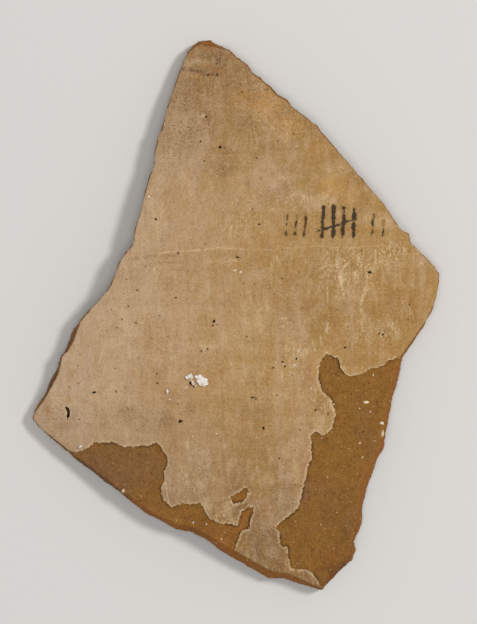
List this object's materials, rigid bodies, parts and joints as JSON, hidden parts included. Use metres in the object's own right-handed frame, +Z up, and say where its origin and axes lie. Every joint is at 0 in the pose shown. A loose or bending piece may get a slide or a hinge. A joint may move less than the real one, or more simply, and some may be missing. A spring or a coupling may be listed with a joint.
{
  "type": "ostracon",
  "caption": "Broken wall sherd of a wheel-thrown jar, used as a writing surface: a curved clay wall with a pale outer slip that has flaked off in places.",
  "frame": {"origin": "on the surface that the sherd rests on, under the middle of its bounding box", "axes": "+Y towards the narrow top end, along the axis of the jar that it broke from; +Z up, out of the convex, slipped face; +X to the right as the writing side is seen"},
  "size_m": [0.1048, 0.1422, 0.0165],
  "materials": {
    "clay": "matt fired clay, red-brown, with grains and small voids; more orange on the broken faces",
    "slip": "matt buff slip, wiped, with pinkish and yellowish streaks and fine pits",
    "lime": "chalky off-white crust",
    "grit": "pale limestone grain",
    "ink": "worn carbon ink, matt, near black where it is thick"
  },
  "bodies": {
    "root": {"clay_body": "clay", "outer_slip": "slip", "lime_crust_large": "lime", "lime_crust_small": "lime", "lime_crust_spot": "lime", "lime_crust_margin_spot": "lime", "limestone_grit_long": "grit", "limestone_grit_short": "grit", "limestone_grit_flat": "grit", "limestone_grit_round": "grit", "limestone_grit_left": "grit"}
  },
  "joints": []
}
